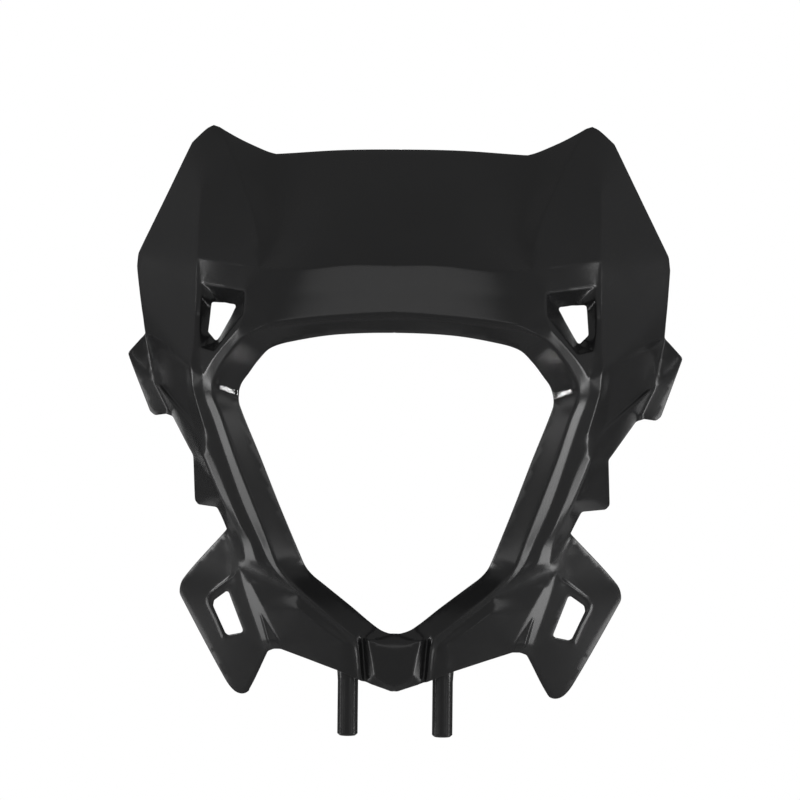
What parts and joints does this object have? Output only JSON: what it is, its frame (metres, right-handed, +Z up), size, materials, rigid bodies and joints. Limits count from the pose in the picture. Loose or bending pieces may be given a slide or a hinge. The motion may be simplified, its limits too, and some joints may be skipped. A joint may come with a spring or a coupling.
{
  "type": "headlight cowl",
  "caption": "Moulded front mask for an off-road motorbike lamp: swept screen with horns, bevelled bezel round the lamp opening, fork tabs, strap ears and round lower pegs.",
  "frame": {"origin": "midway between the two pegs, level with their lower ends", "axes": "+Z up along the pegs, -Y to the front of the motorbike, +X to the viewer's right when seen from the front"},
  "size_m": [0.2806, 0.1036, 0.2998],
  "materials": {
    "black_plastic": "satin"
  },
  "bodies": {
    "root": {"cowl": "black_plastic"}
  },
  "joints": []
}
